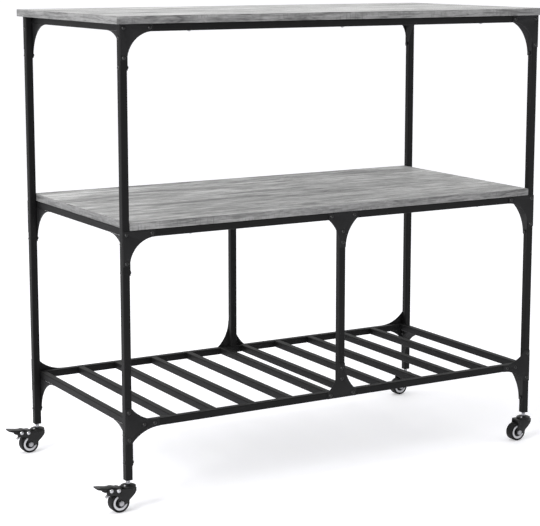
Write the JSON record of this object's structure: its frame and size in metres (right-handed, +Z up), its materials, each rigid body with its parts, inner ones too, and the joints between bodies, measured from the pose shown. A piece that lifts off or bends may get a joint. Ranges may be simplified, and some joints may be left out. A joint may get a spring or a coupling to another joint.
{
  "type": "kitchen island cart",
  "caption": "Wheeled kitchen island cart: wood-effect worktop and shelf on a black square-tube frame, a slatted rack below, and swivel casters with brakes at one end.",
  "frame": {"origin": "middle of the bounding box in plan, at floor level under the wheels", "axes": "+X along the cart's length, away from the braked casters; +Y from front to back; +Z up"},
  "size_m": [1.0724, 0.5, 0.966],
  "materials": {
    "oak_board": "matt light grey weathered oak decor with darker streaks",
    "black_tube": "matt black powder coat",
    "black_plate": "matt black powder coat",
    "black_fastener": "satin black",
    "caster_black": "satin black",
    "pedal_steel": "satin black",
    "zinc": "bright zinc plate",
    "insert_plastic": "matt",
    "rim_plastic": "light grey moulded plastic, the hub inside the ring black",
    "tread": "matt black rubber"
  },
  "bodies": {
    "frame": {"top_board": "oak_board", "shelf_board": "oak_board", "leg_front_left": "black_tube", "leg_front_right": "black_tube", "leg_back_left": "black_tube", "leg_back_right": "black_tube", "post_front": "black_tube", "post_back": "black_tube", "top_rail_front": "black_tube", "top_rail_back": "black_tube", "top_rail_left": "black_tube", "top_rail_right": "black_tube", "shelf_rail_front": "black_tube", "shelf_rail_back": "black_tube", "shelf_rail_left": "black_tube", "shelf_rail_right": "black_tube", "rack_rail_front": "black_tube", "rack_rail_back": "black_tube", "rack_rail_left": "black_tube", "rack_rail_right": "black_tube", "rack_slats_left": "black_tube", "rack_slats_right": "black_tube", "corner_plates": "black_plate", "tee_plates": "black_plate", "side_gussets": "black_plate", "plate_bolts": "black_fastener", "rivet_nuts": "zinc", "gusset_bolts": "black_fastener", "cap_nuts": "black_fastener", "board_screws": "zinc", "leg_inserts": "insert_plastic", "caster_stems": "zinc", "bearing_caps": "caster_black", "bearing_balls": "zinc"},
    "caster_front_left": {"fork_front_left": "caster_black", "axle_front_left": "zinc", "brake_pins_front": "zinc"},
    "wheel_front_left": {"rim_front_left": "rim_plastic", "tyre_front_left": "tread"},
    "brake_front": {"pedal_front": "pedal_steel", "brake_plate_front": "zinc", "brake_pad_front": "tread"},
    "caster_front_right": {"fork_front_right": "caster_black", "axle_front_right": "zinc"},
    "wheel_front_right": {"rim_front_right": "rim_plastic", "tyre_front_right": "tread"},
    "caster_back_left": {"fork_back_left": "caster_black", "axle_back_left": "zinc", "brake_pins_back": "zinc"},
    "wheel_back_left": {"rim_back_left": "rim_plastic", "tyre_back_left": "tread"},
    "brake_back": {"pedal_back": "pedal_steel", "brake_plate_back": "zinc", "brake_pad_back": "tread"},
    "caster_back_right": {"fork_back_right": "caster_black", "axle_back_right": "zinc"},
    "wheel_back_right": {"rim_back_right": "rim_plastic", "tyre_back_right": "tread"}
  },
  "joints": [
    {"name": "swivel_front_left", "type": "hinge", "parent": "frame", "child": "caster_front_left", "pos_m": [-0.46625, -0.2325, 0.048], "axis": [0, 0, 1], "continuous": true},
    {"name": "wheel_spin_front_left", "type": "hinge", "parent": "caster_front_left", "child": "wheel_front_left", "pos_m": [-0.48725, -0.2325, 0.02], "axis": [0, 1, 0], "continuous": true},
    {"name": "brake_lift_front", "type": "hinge", "parent": "caster_front_left", "child": "brake_front", "pos_m": [-0.49155, -0.2325, 0.0459], "axis": [0, 1, 0], "range_deg": [0, 15]},
    {"name": "swivel_front_right", "type": "hinge", "parent": "frame", "child": "caster_front_right", "pos_m": [0.51875, -0.2325, 0.048], "axis": [0, 0, 1], "continuous": true},
    {"name": "wheel_spin_front_right", "type": "hinge", "parent": "caster_front_right", "child": "wheel_front_right", "pos_m": [0.49775, -0.2325, 0.02], "axis": [0, 1, 0], "continuous": true},
    {"name": "swivel_back_left", "type": "hinge", "parent": "frame", "child": "caster_back_left", "pos_m": [-0.46625, 0.2325, 0.048], "axis": [0, 0, 1], "continuous": true},
    {"name": "wheel_spin_back_left", "type": "hinge", "parent": "caster_back_left", "child": "wheel_back_left", "pos_m": [-0.48725, 0.2325, 0.02], "axis": [0, 1, 0], "continuous": true},
    {"name": "brake_lift_back", "type": "hinge", "parent": "caster_back_left", "child": "brake_back", "pos_m": [-0.49155, 0.2325, 0.0459], "axis": [0, 1, 0], "range_deg": [0, 15]},
    {"name": "swivel_back_right", "type": "hinge", "parent": "frame", "child": "caster_back_right", "pos_m": [0.51875, 0.2325, 0.048], "axis": [0, 0, 1], "continuous": true},
    {"name": "wheel_spin_back_right", "type": "hinge", "parent": "caster_back_right", "child": "wheel_back_right", "pos_m": [0.49775, 0.2325, 0.02], "axis": [0, 1, 0], "continuous": true}
  ]
}
